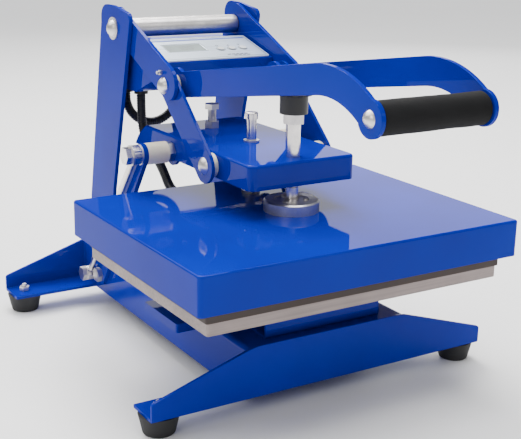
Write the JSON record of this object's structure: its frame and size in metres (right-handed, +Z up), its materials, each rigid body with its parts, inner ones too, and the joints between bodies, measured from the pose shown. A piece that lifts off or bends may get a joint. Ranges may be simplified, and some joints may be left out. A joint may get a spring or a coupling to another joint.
{
  "type": "heat press",
  "caption": "Clamshell heat press: toggle handle closes a sprung heated platen on a padded lower table, with a sloping control box on its tower.",
  "frame": {"origin": "on the bench, midway between the four rubber feet", "axes": "+Z up, -Y towards the operator and the handle's grip, +X to the operator's right"},
  "size_m": [0.442, 0.606, 0.403],
  "materials": {
    "blue_paint": "glossy powder coat",
    "zinc_steel": "zinc plated",
    "bright_chrome": "polished",
    "table_aluminium": "milled",
    "platen_aluminium": "cast, coated face",
    "silicone": "matt silicone foam",
    "black_rubber": "matt",
    "grip_foam": "matt foam",
    "nylon": "satin",
    "bronze": "plain",
    "black_plastic": "satin",
    "panel_grey": "satin film",
    "display": "glossy",
    "key_cap": "satin",
    "switch_red": "glossy",
    "circuit_board": "satin",
    "mineral_board": "fibrous",
    "heater_steel": "oxidised"
  },
  "bodies": {
    "frame": {"front_foot": "blue_paint", "rear_foot": "blue_paint", "base_channel": "blue_paint", "rubber_feet": "black_rubber", "frame_bolts": "zinc_steel", "left_upright": "blue_paint", "right_upright": "blue_paint", "upright_brace": "blue_paint", "top_axle": "zinc_steel", "top_spacer_tube": "zinc_steel", "support_legs": "blue_paint", "rear_axle": "bright_chrome", "rear_spacers": "nylon", "tie_rods": "bright_chrome", "table_risers": "blue_paint", "lower_table": "table_aluminium", "silicone_pad": "silicone", "control_box": "blue_paint", "control_panel": "panel_grey", "display_window": "display", "control_board": "circuit_board", "inlet_and_switch_frame": "black_plastic", "box_glands": "black_plastic", "heater_conduit": "black_plastic", "wiring_loop": "black_plastic"},
    "handle": {"left_crank_plate": "blue_paint", "right_crank_plate": "blue_paint", "crank_bushes": "bronze", "left_handle_arm": "blue_paint", "right_handle_arm": "blue_paint", "knee_shaft": "zinc_steel", "grease_nipples": "zinc_steel", "grip_core": "zinc_steel", "foam_grip": "grip_foam", "grip_bolts": "zinc_steel"},
    "links": {"left_link": "blue_paint", "right_link": "blue_paint", "link_spacers": "nylon", "link_bolts": "zinc_steel"},
    "rocker": {"rocker_tray": "blue_paint", "tray_bushes": "bronze", "screw_nut": "zinc_steel", "guide_bush": "zinc_steel", "stop_bolt": "zinc_steel"},
    "platen": {"platen_cover": "blue_paint", "heat_platen": "platen_aluminium", "heater_and_thermostat": "heater_steel", "insulation_board": "mineral_board", "platen_pillars": "zinc_steel", "swivel_cup": "zinc_steel", "cup_retainer": "zinc_steel", "guide_pin": "bright_chrome", "platen_gland": "black_plastic"},
    "screw": {"pressure_screw": "bright_chrome", "screw_collar": "zinc_steel", "pressure_knob": "black_plastic"},
    "set_key": {"set_button": "key_cap"},
    "up_key": {"up_button": "key_cap"},
    "down_key": {"down_button": "key_cap"},
    "mains_switch": {"power_switch": "switch_red"}
  },
  "joints": [
    {"name": "platen_lift", "type": "hinge", "parent": "frame", "child": "rocker", "pos_m": [0, 0.022, 0.2383], "axis": [-1, 0, 0], "range_deg": [0, 45], "deforming": ["heater_conduit"]},
    {"name": "handle_lift", "type": "hinge", "parent": "frame", "child": "handle", "pos_m": [0, 0.134, 0.375], "axis": [-1, 0, 0], "range_deg": [0, 44.3]},
    {"name": "link_swing", "type": "hinge", "parent": "handle", "child": "links", "pos_m": [0, 0.0077, 0.32065], "axis": [1, 0, 0], "range_deg": [0, 67.5]},
    {"name": "platen_height", "type": "slide", "parent": "rocker", "child": "platen", "axis": [0, 0, 1], "range_m": [0, 0.012], "deforming": ["heater_conduit"]},
    {"name": "screw_turn", "type": "hinge", "parent": "platen", "child": "screw", "pos_m": [0, -0.138, 0.1953], "axis": [0, 0, 1], "range_deg": [0, 2160.1]},
    {"name": "set_key_press", "type": "slide", "parent": "frame", "child": "set_key", "axis": [0, 0.2588, -0.9659], "range_m": [0, 0.0008], "stiffness_N_per_m": 200, "springref_m": -0.002},
    {"name": "up_key_press", "type": "slide", "parent": "frame", "child": "up_key", "axis": [0, 0.2588, -0.9659], "range_m": [0, 0.0008], "stiffness_N_per_m": 200, "springref_m": -0.002},
    {"name": "down_key_press", "type": "slide", "parent": "frame", "child": "down_key", "axis": [0, 0.2588, -0.9659], "range_m": [0, 0.0008], "stiffness_N_per_m": 200, "springref_m": -0.002},
    {"name": "mains_switch_tilt", "type": "hinge", "parent": "frame", "child": "mains_switch", "pos_m": [0.038, 0.177, 0.325], "axis": [0, 0, 1], "range_deg": [0, 12]}
  ],
  "couplings": [
    {"joint": "handle_lift", "follows": "platen_lift", "ratio": 0.983},
    {"joint": "link_swing", "follows": "platen_lift", "ratio": 1.498},
    {"joint": "screw_turn", "follows": "platen_height", "rad_per_m": 3141.6}
  ]
}
